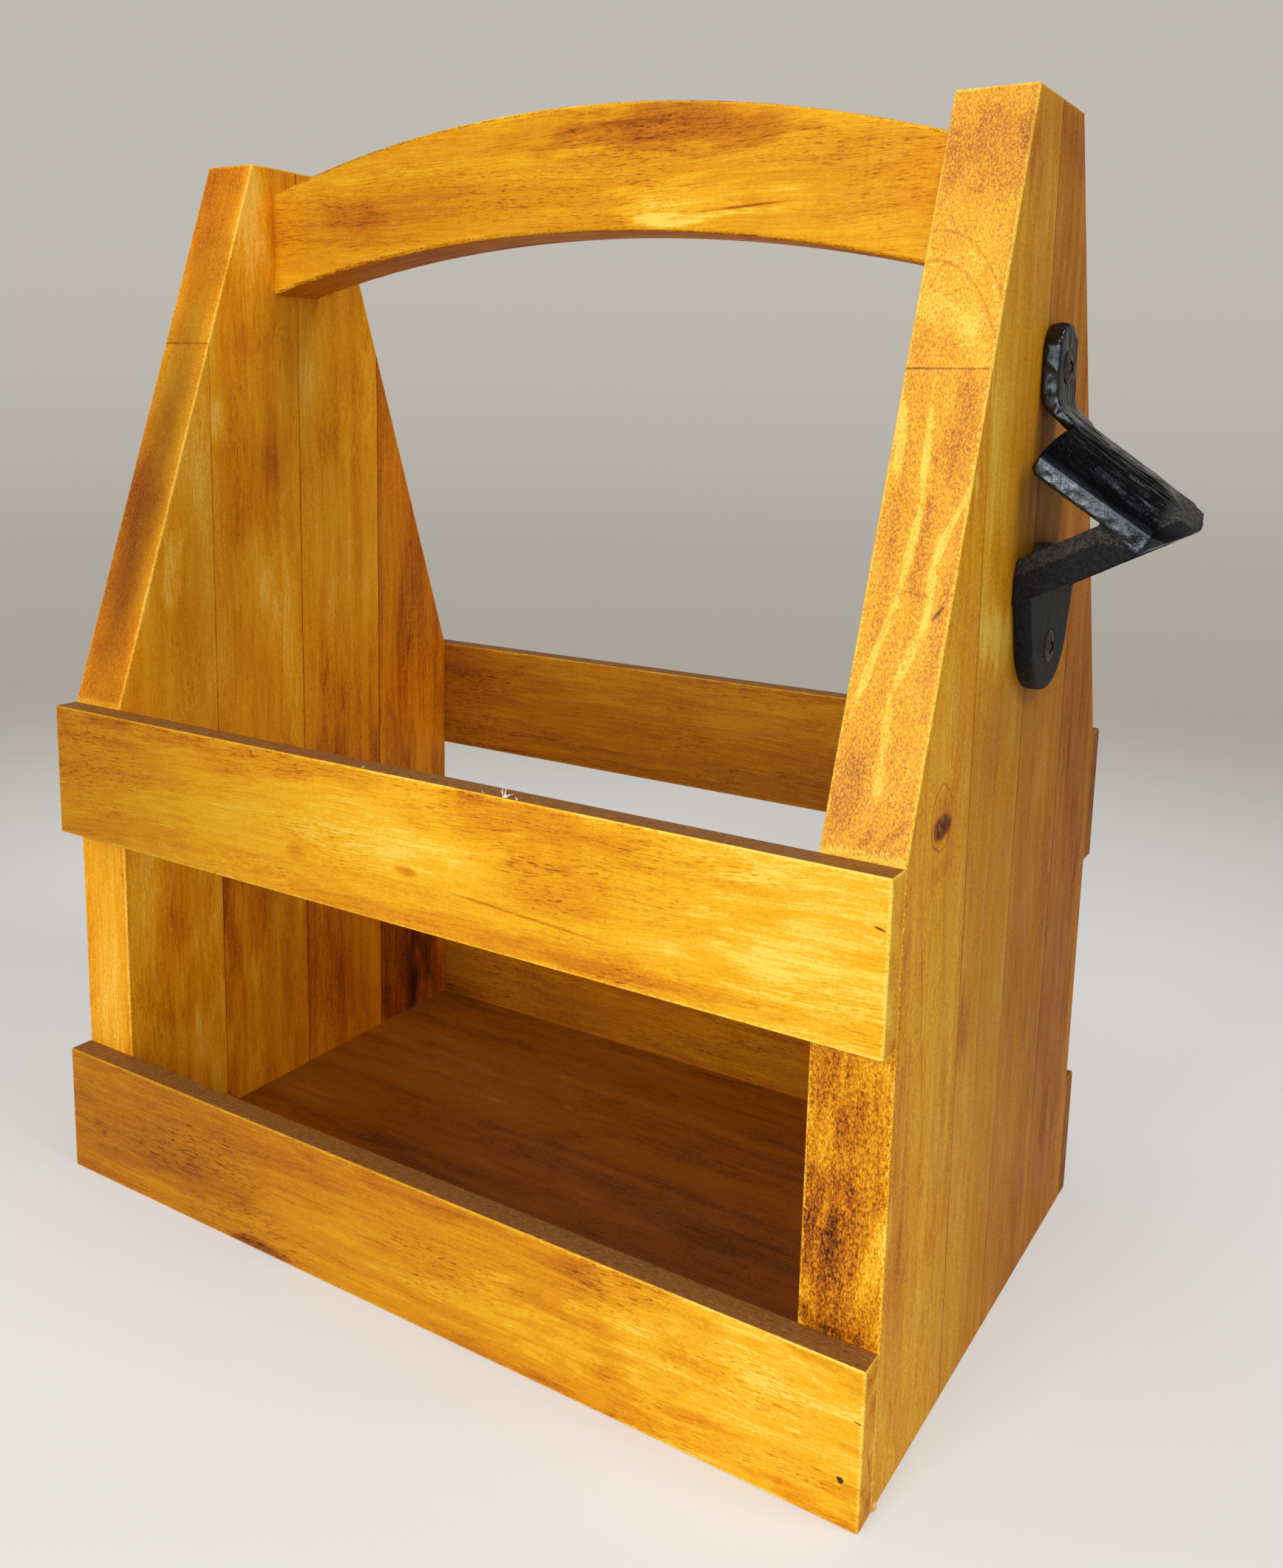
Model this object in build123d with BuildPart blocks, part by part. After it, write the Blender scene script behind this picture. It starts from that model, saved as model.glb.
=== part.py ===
from build123d import *
from math import cos, radians, sin, sqrt, tan
import os

# Wooden bottle caddy with a cast iron opener on its right end. Millimetres, +Z up. X runs along the
# slats with the opener at the +X end, and -Y is the front. The origin is on the ground, at the centre
# of the wooden body's footprint.

# Board stock and main sizes
panel_thickness = 19.0
stave_width = 36.6
slat_length = 257.0
slat_thickness = 7.0
slat_height = 38.0
upper_slat_top = 144.0
panel_height = 303.0
panel_top_width = 35.6
floor_thickness = 6.5
edge_round = 0.5

# Carry handle: an arched board, whose upper and lower edges are cut to separate arcs
handle_thickness = 19.0
handle_rise = 8.2
handle_width = 32.4
handle_top_radius = 384.0
handle_under_radius = 440.0
handle_edge_round = 1.2

# Blind dowels between the handle and the panels
dowel_diameter = 8.0
dowel_in_panel = 12.0
dowel_in_handle = 16.0
dowel_spacing = 12.0
dowel_fit = 0.05
dowel_end_gap = 0.5

# Brads through the slats
brad_diameter = 1.0
brad_head_diameter = 1.4
brad_head_thickness = 0.6
brad_length = 25.0
brad_sunk = 0.4
brad_fit = 0.05
brad_end_inset = 4.5
brad_edge_inset = 11.0
floor_brad_count = 3
floor_brad_spread_share = 0.7

# Opener casting. Heights are over its lowest point, reaches run out along the hood's slope, and rises
# stand square to that slope, over the lip line.
opener_drop = 49.0
opener_offset = 4.0
opener_width = 38.0
tab_thickness = 4.2
tab_round = 1.2
lower_tab_waist_width = 31.0
lower_tab_waist_height = 12.5
shoulder_share = 0.25
tongue_width = 16.0
tongue_rise = 3.2
arm_root_height = 32.1
arm_depth = 10.5
arm_meet_share = 0.56
arm_bevel_height = 4.2
arm_bevel_depth = 1.8
hood_lip_height = 53.5
hood_slope_angle = 33.0
hood_start = 2.0
hood_reach = 39.0
hood_bow = 5.8
hood_lip_rise = 3.3
lip_corner_radius = 2.4
hood_rear_crown = 12.9
hood_front_crown = 11.6
hood_wall = 3.0
side_wall = 3.4
nose_wall = 4.4
nose_lean_angle = 14.0
nose_curve_start = 26.0
nose_drop = 6.5
neck_slope_angle = 41.0
neck_thickness = 2.7
neck_bend_radius = 6.0
upper_tab_width = 15.0
upper_tab_length = 18.6
upper_tab_corner = 6.8

# Wood screws that hold the casting
screw_diameter = 4.2
screw_head_diameter = 7.6
screw_head_angle = 82.0
screw_head_dome = 0.9
screw_length = 16.0
screw_point = 4.0
screw_hole_clearance = 0.3
screw_thread_fit = 0.1
screw_seat_gap = 0.15
upper_screw_inset = 10.0
lower_screw_height = 10.6
recess_length = 4.2
recess_width = 1.0
recess_depth = 1.6

# One overrun for every cut that has to pass right through something
overrun = 2.0

# Places that follow from the sizes above
stave_names = ["front_stave", "front_middle_stave", "rear_middle_stave", "rear_stave"]
panel_depth = stave_width * len(stave_names)
panel_back = panel_depth / 2
panel_front = -panel_back
slat_back = panel_back + slat_thickness
slat_front = -slat_back
right_face = slat_length / 2
right_inner = right_face - panel_thickness
inner_length = 2 * right_inner

handle_top_apex = panel_height + handle_rise
handle_under_apex = handle_top_apex - handle_width


def handle_top(out):
    """Height of the handle's upper edge so far out from its middle."""
    return handle_top_apex - handle_top_radius + sqrt(handle_top_radius**2 - out**2)


def handle_under(out):
    """Height of its lower edge."""
    return handle_under_apex - handle_under_radius + sqrt(handle_under_radius**2 - out**2)


# The dowels lie level in a handle that climbs, so their middle is set between the end's top and the
# lower edge over the holes' inner ends.
dowel_middle = (handle_top(right_inner) + handle_under(right_inner - dowel_in_handle - dowel_end_gap)) / 2
dowel_places = [(0, dowel_middle - dowel_spacing / 2), (0, dowel_middle + dowel_spacing / 2)]

slope_cos = cos(radians(hood_slope_angle))
slope_sin = sin(radians(hood_slope_angle))
slope_tan = tan(radians(hood_slope_angle))
neck_cos = cos(radians(neck_slope_angle))
neck_sin = sin(radians(neck_slope_angle))
neck_tan = tan(radians(neck_slope_angle))
ridge_out = hood_start * slope_cos + hood_rear_crown * slope_sin
ridge_height = hood_lip_height - hood_start * slope_sin + hood_rear_crown * slope_cos
neck_bend_height = ridge_height + (ridge_out - tab_thickness) * neck_tan
opener_height = neck_bend_height + upper_tab_length
opener_bottom = panel_height - opener_drop - opener_height
screw_heights = [lower_screw_height, opener_height - upper_screw_inset]
screw_places = [(opener_offset, opener_bottom + height) for height in screw_heights]
screw_head_cone = (screw_head_diameter - screw_diameter) / 2 / tan(radians(screw_head_angle / 2))


def label_and_write(part, name):
    part.label = name
    export_step(part, f"parts/{name}.step")


def facing_front(depth):
    """A plane across the caddy at a depth, with its own X along the slats and its own Y upwards."""
    return Plane(origin=(0, depth, 0), x_dir=(1, 0, 0), z_dir=(0, -1, 0))


# Brads. The list of places is in X and Z, as seen from the front.
brad_heights = [
    bottom + rise
    for bottom in (0, upper_slat_top - slat_height)
    for rise in (brad_edge_inset, slat_height - brad_edge_inset)
]
slat_brad_places = [
    (end * (right_face - brad_end_inset), height) for end in (-1, 1) for height in brad_heights
]
floor_brad_reach = right_inner * floor_brad_spread_share
floor_brad_places = [
    (floor_brad_reach * (2 * i / (floor_brad_count - 1) - 1), floor_thickness / 2)
    for i in range(floor_brad_count)
]


def brads(places, facing):
    """Headed brads driven in from the front face (facing -1) or from the back face (facing 1)."""
    head_plane = facing_front(facing * (slat_back - brad_sunk))
    with BuildPart() as group:
        with BuildSketch(head_plane):
            with Locations(*places):
                Circle(brad_head_diameter / 2)
        extrude(amount=facing * brad_head_thickness)
        with BuildSketch(head_plane):
            with Locations(*places):
                Circle(brad_diameter / 2)
        extrude(amount=facing * brad_length)
    return group.part


def brad_holes(places, facing):
    """The holes that the same brads leave, each with a wider mouth for the head."""
    face_plane = facing_front(facing * slat_back)
    with BuildPart() as holes:
        with BuildSketch(face_plane):
            with Locations(*places):
                Circle(brad_head_diameter / 2 + brad_fit)
        extrude(amount=facing * (brad_sunk + brad_head_thickness + brad_fit))
        with BuildSketch(face_plane):
            with Locations(*places):
                Circle(brad_diameter / 2 + brad_fit)
        extrude(amount=facing * (brad_sunk + brad_length + brad_fit))
    return holes.part


front_brad_holes = brad_holes(slat_brad_places, -1)
back_brad_holes = brad_holes(slat_brad_places, 1)
front_floor_brad_holes = brad_holes(floor_brad_places, -1)
back_floor_brad_holes = brad_holes(floor_brad_places, 1)


def end_panel(side):
    """A whole glued-up panel at the left (-1) or right (1) end, drilled for its dowels and brads."""
    with BuildPart() as panel:
        with BuildSketch(Plane.YZ.offset(side * right_inner)):
            Polygon(
                (panel_front, 0),
                (panel_front, upper_slat_top),
                (-panel_top_width / 2, panel_height),
                (panel_top_width / 2, panel_height),
                (panel_back, upper_slat_top),
                (panel_back, 0),
                align=None,
            )
        extrude(amount=side * panel_thickness)
        fillet(panel.edges().filter_by(Axis.X, reverse=True), edge_round)
        with BuildSketch(Plane.YZ.offset(side * right_inner)):
            with Locations(*dowel_places):
                Circle(dowel_diameter / 2 + dowel_fit)
        extrude(amount=side * (dowel_in_panel + dowel_end_gap), mode=Mode.SUBTRACT)
        add(front_brad_holes, mode=Mode.SUBTRACT)
        add(back_brad_holes, mode=Mode.SUBTRACT)
    return panel.part


def staves(panel, side, side_name):
    """Parts a panel at its glue lines and writes each stave."""
    for i, stave_name in enumerate(stave_names):
        with BuildPart() as stave:
            add(panel)
            middle = panel_front + stave_width * (i + 1 / 2)
            with Locations((side * (right_inner + panel_thickness / 2), middle, panel_height / 2)):
                Box(
                    panel_thickness + overrun,
                    stave_width,
                    panel_height + overrun,
                    mode=Mode.INTERSECT,
                )
        label_and_write(stave.part, f"{side_name}_{stave_name}")


os.makedirs("parts", exist_ok=True)

# Left end panel
staves(end_panel(-1), -1, "left")

# Right end panel, which also takes the opener's screws
with BuildPart() as right_panel:
    add(end_panel(1))
    with BuildSketch(Plane.YZ.offset(right_face)):
        with Locations(*screw_places):
            Circle(screw_diameter / 2 + screw_thread_fit)
    extrude(amount=tab_thickness - screw_length - screw_thread_fit, mode=Mode.SUBTRACT)
staves(right_panel.part, 1, "right")

# Slats, nailed over the front and back edges of the panels
for facing, facing_name in ((-1, "front"), (1, "back")):
    slat_brad_holes = front_brad_holes if facing < 0 else back_brad_holes
    floor_brad_holes = front_floor_brad_holes if facing < 0 else back_floor_brad_holes
    for level_name, bottom in (("lower", 0), ("upper", upper_slat_top - slat_height)):
        with BuildPart() as slat:
            with BuildSketch(Plane.XY.offset(bottom)):
                with Locations((0, facing * (panel_back + slat_thickness / 2))):
                    Rectangle(slat_length, slat_thickness)
            extrude(amount=slat_height)
            fillet(slat.edges(), edge_round)
            add(slat_brad_holes, mode=Mode.SUBTRACT)
            if level_name == "lower":
                add(floor_brad_holes, mode=Mode.SUBTRACT)
        label_and_write(slat.part, f"{facing_name}_{level_name}_slat")

# Floor, between the panels and held by brads through the lower slats
with BuildPart() as floor_board:
    with BuildSketch():
        Rectangle(inner_length, panel_depth)
    extrude(amount=floor_thickness)
    add(front_floor_brad_holes, mode=Mode.SUBTRACT)
    add(back_floor_brad_holes, mode=Mode.SUBTRACT)
label_and_write(floor_board.part, "floor_board")

# Carry handle
top_end = handle_top(right_inner)
under_end = handle_under(right_inner)
with BuildPart() as carry_handle:
    with BuildSketch(facing_front(handle_thickness / 2)):
        with BuildLine():
            ThreePointArc((-right_inner, top_end), (0, handle_top_apex), (right_inner, top_end))
            Line((right_inner, top_end), (right_inner, under_end))
            ThreePointArc((right_inner, under_end), (0, handle_under_apex), (-right_inner, under_end))
            Line((-right_inner, under_end), (-right_inner, top_end))
        make_face()
    extrude(amount=handle_thickness)
    fillet(carry_handle.edges().filter_by(GeomType.CIRCLE), handle_edge_round)
    for end in (-1, 1):
        with BuildSketch(Plane.YZ.offset(end * right_inner)):
            with Locations(*dowel_places):
                Circle(dowel_diameter / 2 + dowel_fit)
        extrude(amount=-end * (dowel_in_handle + dowel_end_gap), mode=Mode.SUBTRACT)
label_and_write(carry_handle.part, "carry_handle")

# Dowels, two in each end of the handle
with BuildPart() as handle_dowels:
    for end in (-1, 1):
        with BuildSketch(Plane.YZ.offset(end * (right_inner + dowel_in_panel))):
            with Locations(*dowel_places):
                Circle(dowel_diameter / 2)
        extrude(amount=-end * (dowel_in_panel + dowel_in_handle))
    chamfer(handle_dowels.edges().filter_by(GeomType.CIRCLE), dowel_end_gap)
label_and_write(handle_dowels.part, "handle_dowels")

# Brads
label_and_write(brads(slat_brad_places, -1), "front_slat_brads")
label_and_write(brads(slat_brad_places, 1), "back_slat_brads")
with BuildPart() as floor_brads:
    add(brads(floor_brad_places, -1))
    add(brads(floor_brad_places, 1))
label_and_write(floor_brads.part, "floor_brads")

# Opener casting
hood_origin = Vector(right_face, opener_offset, opener_bottom + hood_lip_height)
down_slope = Vector(slope_cos, 0, -slope_sin)
off_slope = Vector(slope_sin, 0, slope_cos)
hood_depth = opener_height / 2

# Side view through the middle: X out from the panel, Y up from the lowest point
profile_plane = Plane(origin=(right_face, opener_offset, opener_bottom), x_dir=(1, 0, 0), z_dir=(0, -1, 0))
# The same view turned with the hood: X along the slope, Y square to it
hood_profile_plane = Plane(origin=hood_origin, x_dir=down_slope, z_dir=(0, -1, 0))
# Front view of the tabs, on the panel's face: X along the panel, Y up from the lowest point
tab_plane = Plane(origin=(right_face, opener_offset, opener_bottom), x_dir=(0, 1, 0), z_dir=(1, 0, 0))
# Plan of the hood, seen square to its slope
plan_plane = Plane(origin=hood_origin, x_dir=down_slope, z_dir=off_slope)

# The arms run up in a straight line and meet the lip part of the way out to the nose
meet_out = arm_meet_share * hood_reach * slope_cos
meet_height = hood_lip_height - meet_out * slope_tan
arm_rise_share = (meet_height - arm_root_height) / meet_out
far_out = 2 * hood_reach


def arm_top(out):
    return arm_root_height + out * arm_rise_share


def arm_under(out):
    return arm_top(out) - arm_depth


def ridge_rise(reach):
    """Rise of the hood's ridge over the lip line, a little less towards the nose."""
    fall_share = (reach - hood_start) / (hood_reach - hood_start)
    return hood_rear_crown - fall_share * (hood_rear_crown - hood_front_crown)


def hood_section(reach, half_width, lip_rise, crown):
    """A deep slab under half an ellipse, cut square to the slope at a reach along it."""
    station = Plane(origin=hood_origin + down_slope * reach, x_dir=(0, 1, 0), z_dir=down_slope)
    with BuildSketch(station) as section:
        with BuildLine():
            Polyline(
                (-half_width, lip_rise),
                (-half_width, -hood_depth),
                (half_width, -hood_depth),
                (half_width, lip_rise),
            )
            EllipticalCenterArc((0, lip_rise), half_width, crown - lip_rise, arc_size=180)
        make_face()
    return section.sketch


def hood_block(start, half_width, reach, wall):
    """The hood as a solid block: an arched slab from its rear end to a bowed nose that leans back."""
    side_reach = reach - hood_bow
    lean = off_slope - down_slope * tan(radians(nose_lean_angle))
    with BuildPart() as block:
        loft(
            [
                hood_section(station, half_width, hood_lip_rise - wall / 2, ridge_rise(station) - wall)
                for station in (start, hood_reach + overrun)
            ],
            ruled=True,
        )
        with BuildSketch(plan_plane):
            with BuildLine():
                Polyline(
                    (side_reach, -half_width),
                    (-far_out, -half_width),
                    (-far_out, half_width),
                    (side_reach, half_width),
                )
                ThreePointArc((side_reach, half_width), (reach, 0), (side_reach, -half_width))
            make_face()
        extrude(amount=opener_height, dir=lean, both=True, mode=Mode.INTERSECT)
    return block.part


def arm_bevel(side):
    """A wedge along an arm's upper outer edge, which ends in a point under the lip."""
    outer = side * opener_width / 2
    sections = []
    for out in (-overrun, meet_out):
        with BuildSketch(tab_plane.offset(out)) as section:
            Polygon(
                (outer + side * arm_bevel_depth, arm_top(out) - 2 * arm_bevel_height),
                (outer + side * arm_bevel_depth, arm_top(out)),
                (outer - side * arm_bevel_depth, arm_top(out)),
                align=None,
            )
        sections.append(section.sketch)
    point_out = meet_out + 2 * arm_bevel_height
    point = Vector(
        right_face + point_out,
        opener_offset + outer,
        opener_bottom + hood_lip_height - point_out * slope_tan,
    )
    with BuildPart() as wedge:
        loft(sections, ruled=True)
        loft([sections[-1], Vertex(*point)], ruled=True)
    return wedge.part


# Lower tab with its shoulders, and the rounded tongue that catches a cap
shoulder_height = arm_root_height - arm_depth * (1 - shoulder_share)
with BuildPart() as lower_tab:
    with BuildSketch(tab_plane):
        with BuildLine():
            Polyline(
                (-lower_tab_waist_width / 2, lower_tab_waist_height),
                (-opener_width / 2, shoulder_height),
                (-opener_width / 2, arm_root_height),
                (opener_width / 2, arm_root_height),
                (opener_width / 2, shoulder_height),
                (lower_tab_waist_width / 2, lower_tab_waist_height),
            )
            ThreePointArc(
                (lower_tab_waist_width / 2, lower_tab_waist_height),
                (0, 0),
                (-lower_tab_waist_width / 2, lower_tab_waist_height),
            )
        make_face()
        with Locations((0, arm_root_height + tongue_rise - tongue_width / 2)):
            Circle(tongue_width / 2)
    extrude(amount=tab_thickness)
    fillet(lower_tab.faces().sort_by(Axis.X)[-1].edges(), tab_round)

# Upper tab and neck: one bent strap, which runs down and out into the hood's rear end
with BuildPart() as strap:
    with BuildSketch(profile_plane) as strap_profile:
        with BuildLine():
            Polyline(
                (0, opener_height),
                (tab_thickness, opener_height),
                (tab_thickness, neck_bend_height),
                (ridge_out, ridge_height),
                (
                    ridge_out + hood_wall * (slope_cos - slope_sin),
                    ridge_height - hood_wall * (slope_cos + slope_sin),
                ),
                (ridge_out - neck_thickness * neck_sin, ridge_height - neck_thickness * neck_cos),
                (0, ridge_height + ridge_out * neck_tan - neck_thickness / neck_cos),
                close=True,
            )
        make_face()
        bends = strap_profile.vertices().sort_by(Axis.Y)[-4:-2]
        fillet(bends, neck_bend_radius)
    extrude(amount=upper_tab_width / 2, both=True)
    with BuildSketch(tab_plane):
        with Locations((0, opener_height / 2)):
            RectangleRounded(upper_tab_width, opener_height, upper_tab_corner)
    extrude(amount=far_out, mode=Mode.INTERSECT)

with BuildPart() as opener_casting:
    add(hood_block(hood_start, opener_width / 2, hood_reach, 0))
    # the ridge line curves down to the nose
    ridge_end_rise = ridge_rise(nose_curve_start)
    with BuildSketch(hood_profile_plane):
        with BuildLine():
            TangentArc(
                (nose_curve_start, ridge_end_rise),
                (hood_reach, ridge_end_rise - nose_drop),
                tangent=(nose_curve_start, ridge_end_rise - ridge_rise(0)),
            )
            Polyline(
                (hood_reach, ridge_end_rise - nose_drop),
                (far_out, ridge_end_rise - nose_drop),
                (far_out, far_out),
                (nose_curve_start, far_out),
                (nose_curve_start, ridge_end_rise),
            )
        make_face()
    extrude(amount=opener_width, both=True, mode=Mode.SUBTRACT)
    # nothing stays under the arms or behind the panel's face
    with BuildSketch(profile_plane):
        Polygon(
            (0, arm_under(0)),
            (far_out, arm_under(far_out)),
            (far_out, opener_height + far_out),
            (0, opener_height + far_out),
            align=None,
        )
    extrude(amount=opener_width, both=True, mode=Mode.INTERSECT)
    # the hollow is open to the panel and downwards
    hollow_half_width = opener_width / 2 - side_wall
    hollow = hood_block(hood_start - overrun, hollow_half_width, hood_reach - nose_wall, hood_wall)
    add(hollow, mode=Mode.SUBTRACT)
    # the open triangle between the arms and the hood, seen from the side, and the lip's rounded rear end
    lip_rear = (hood_start * slope_cos, hood_lip_height - hood_start * slope_sin)
    with BuildSketch(profile_plane) as side_window:
        Polygon(
            (-overrun, arm_top(-overrun)),
            (meet_out, meet_height),
            lip_rear,
            (ridge_out, ridge_height),
            (-overrun, ridge_height),
            align=None,
        )
        fillet(side_window.vertices().group_by(Axis.X)[1], lip_corner_radius)
    extrude(amount=opener_width, both=True, mode=Mode.SUBTRACT)
    add(lower_tab.part)
    add(strap.part)
    for side in (-1, 1):
        add(arm_bevel(side), mode=Mode.SUBTRACT)
    with Locations(*[tab_plane.offset(tab_thickness) * Pos(0, height) for height in screw_heights]):
        CounterSinkHole(
            screw_diameter / 2 + screw_hole_clearance,
            screw_head_diameter / 2 + screw_seat_gap,
            depth=tab_thickness,
            counter_sink_angle=screw_head_angle,
        )
label_and_write(opener_casting.part, "opener_casting")

# Screws: a countersunk cone under a low dome, with a cross recess and a pointed shank
with BuildPart() as opener_screws:
    for place in screw_places:
        head_base = right_face + tab_thickness
        dome_radius = ((screw_head_diameter / 2) ** 2 + screw_head_dome**2) / (2 * screw_head_dome)
        tip = head_base - screw_length
        with BuildSketch(Plane(origin=(0, *place), x_dir=(1, 0, 0), z_dir=(0, -1, 0))):
            with BuildLine():
                Polyline(
                    (head_base + screw_head_dome, 0),
                    (tip, 0),
                    (tip + screw_point, screw_diameter / 2),
                    (head_base - screw_head_cone, screw_diameter / 2),
                    (head_base, screw_head_diameter / 2),
                )
                RadiusArc(
                    (head_base, screw_head_diameter / 2),
                    (head_base + screw_head_dome, 0),
                    dome_radius,
                )
            make_face()
        revolve(axis=Axis((0, *place), (1, 0, 0)))
        head_top = (head_base + screw_head_dome, *place)
        with BuildSketch(Plane(origin=head_top, x_dir=(0, 1, 1), z_dir=(1, 0, 0))):
            Rectangle(recess_length, recess_width)
            Rectangle(recess_width, recess_length)
        extrude(amount=-recess_depth, mode=Mode.SUBTRACT)
label_and_write(opener_screws.part, "opener_screws")
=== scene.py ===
import math
import bpy
import numpy as np
from mathutils import Matrix, Vector


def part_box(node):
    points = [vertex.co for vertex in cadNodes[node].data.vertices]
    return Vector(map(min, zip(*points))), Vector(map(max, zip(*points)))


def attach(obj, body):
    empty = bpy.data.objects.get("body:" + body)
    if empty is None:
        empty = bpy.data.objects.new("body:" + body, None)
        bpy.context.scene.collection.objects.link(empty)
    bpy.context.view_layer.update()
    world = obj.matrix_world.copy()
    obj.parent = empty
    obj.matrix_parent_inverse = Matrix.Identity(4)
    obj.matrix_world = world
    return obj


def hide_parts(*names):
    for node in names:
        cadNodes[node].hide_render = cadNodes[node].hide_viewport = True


# Looks of a stained wooden bottle caddy with a black cast iron opener. Metres, +Z up, opener at +X, front at -Y.
# Patterns and their places are in millimetres.

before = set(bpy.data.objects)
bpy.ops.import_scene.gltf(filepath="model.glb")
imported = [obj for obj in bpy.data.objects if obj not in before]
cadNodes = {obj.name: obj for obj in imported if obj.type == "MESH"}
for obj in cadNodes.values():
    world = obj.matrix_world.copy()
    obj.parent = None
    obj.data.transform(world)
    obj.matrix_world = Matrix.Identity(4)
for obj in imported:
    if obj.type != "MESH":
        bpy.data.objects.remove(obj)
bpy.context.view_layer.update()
mm = 0.001
print("frame:", len(cadNodes), "nodes")


# Camera

shot = {
    "place": (0.2206, -0.3268, 0.23306),
    "heading": 32.174,  # degrees to the left of +Y
    "dip": 9.296,  # degrees below level
    "roll": 1.206,
    "focalPixels": 1881.3,
    "axisPixel": (842.1, 857.5),
    "photoSize": (1736, 2121),
    "sensor": 36,
    "clip": (0.01, 50.0),
}


def makeCamera(shot):
    wide, high = shot["photoSize"]
    data = bpy.data.cameras.new("camera")
    data.sensor_width = shot["sensor"]
    data.lens = shot["focalPixels"] * shot["sensor"] / high
    data.shift_x = (wide / 2 - shot["axisPixel"][0]) / high
    data.shift_y = (shot["axisPixel"][1] - high / 2) / high
    data.clip_start, data.clip_end = shot["clip"]
    camera = bpy.data.objects.new("camera", data)
    bpy.context.scene.collection.objects.link(camera)
    turn = Matrix.Rotation(math.radians(shot["heading"]), 4, "Z")
    turn @= Matrix.Rotation(math.radians(90 - shot["dip"]), 4, "X")
    turn @= Matrix.Rotation(math.radians(shot["roll"]), 4, "Z")
    camera.matrix_world = Matrix.Translation(shot["place"]) @ turn
    bpy.context.scene.camera = camera


makeCamera(shot)
print("camera: placed")


# Node helpers


def feed(tree, node, values):
    for key, value in values.items():
        if isinstance(value, bpy.types.NodeSocket):
            tree.links.new(value, node.inputs[key])
        else:
            node.inputs[key].default_value = value


def add(tree, kind, values=None, **settings):
    made = tree.nodes.new("ShaderNode" + kind)
    for key, value in settings.items():
        setattr(made, key, value)
    feed(tree, made, values or {})
    return made


def grow(kind, values, **settings):
    # adds a node to the tree of the sockets that feed it
    sockets = [value for value in values.values() if isinstance(value, bpy.types.NodeSocket)]
    return add(sockets[0].id_data, kind, values, **settings)


def calc(operation, *values):
    return grow("Math", dict(enumerate(values)), operation=operation).outputs[0]


def vectorCalc(operation, *values, out=0):
    return grow("VectorMath", dict(enumerate(values)), operation=operation).outputs[out]


def plus(total, value, amount):
    # total + value * amount
    return calc("MULTIPLY_ADD", value, amount, total)


def minus(first, second):
    return calc("SUBTRACT", first, second)


def product(first, second):
    return calc("MULTIPLY", first, second)


def span(value, low, high, toLow=0.0, toHigh=1.0):
    # a smooth step from toLow to toHigh as value goes from low to high
    values = {0: value, 1: low, 2: high, 3: toLow, 4: toHigh}
    return grow("MapRange", values, interpolation_type="SMOOTHSTEP").outputs[0]


def stretch(vector, factors):
    return vectorCalc("MULTIPLY", vector, factors)


def reachAlong(vector, way):
    return vectorCalc("DOT_PRODUCT", vector, way, out="Value")


def steepness(vector, way):
    # how far a vector points along way or against it
    return calc("ABSOLUTE", reachAlong(vector, way))


def farFrom(value, place):
    return calc("ABSOLUTE", minus(value, place))


def length(vector):
    return vectorCalc("LENGTH", vector, out="Value")


def distance(vector, place):
    return vectorCalc("DISTANCE", vector, place, out="Value")


def noise(vector, scale=1.0, detail=2.0, roughness=0.5, distortion=0.0):
    values = {"Vector": vector, "Scale": scale, "Detail": detail, "Roughness": roughness, "Distortion": distortion}
    return grow("TexNoise", values).outputs[0]


def blend(share, first, second, kind="MIX"):
    return grow("Mix", {0: share, 6: first, 7: second}, data_type="RGBA", blend_type=kind).outputs[2]


def ramp(value, stops):
    made = grow("ValToRGB", {0: value})
    made.color_ramp.interpolation = "EASE"
    while len(made.color_ramp.elements) < len(stops):
        made.color_ramp.elements.new(0.5)
    for element, (place, colour) in zip(made.color_ramp.elements, stops):
        element.position = place
        element.color = (*colour, 1)
    return made.outputs[0]


def newMaterial(name):
    material = bpy.data.materials.new(name)
    material.use_nodes = True
    tree = material.node_tree
    tree.nodes.clear()
    output = add(tree, "OutputMaterial")
    shader = add(tree, "BsdfPrincipled")
    tree.links.new(shader.outputs[0], output.inputs[0])
    return material, tree, shader


def millimetres(tree):
    place = add(tree, "TexCoord").outputs["Object"]
    return stretch(place, (1 / mm, 1 / mm, 1 / mm))


def dress(piece, material):
    piece.data.materials.clear()
    piece.data.materials.append(material)


up = (0, 0, 1)


def axisWay(axis):
    return [float(axis == other) for other in range(3)]


# Mesh helpers


def newPiece(name, points, faces):
    mesh = bpy.data.meshes.new(name)
    mesh.from_pydata([tuple(point) for point in points], [], faces)
    mesh.polygons.foreach_set("use_smooth", np.ones(len(mesh.polygons), bool))
    mesh.update()
    piece = bpy.data.objects.new(name, mesh)
    bpy.context.scene.collection.objects.link(piece)
    return piece


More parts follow.
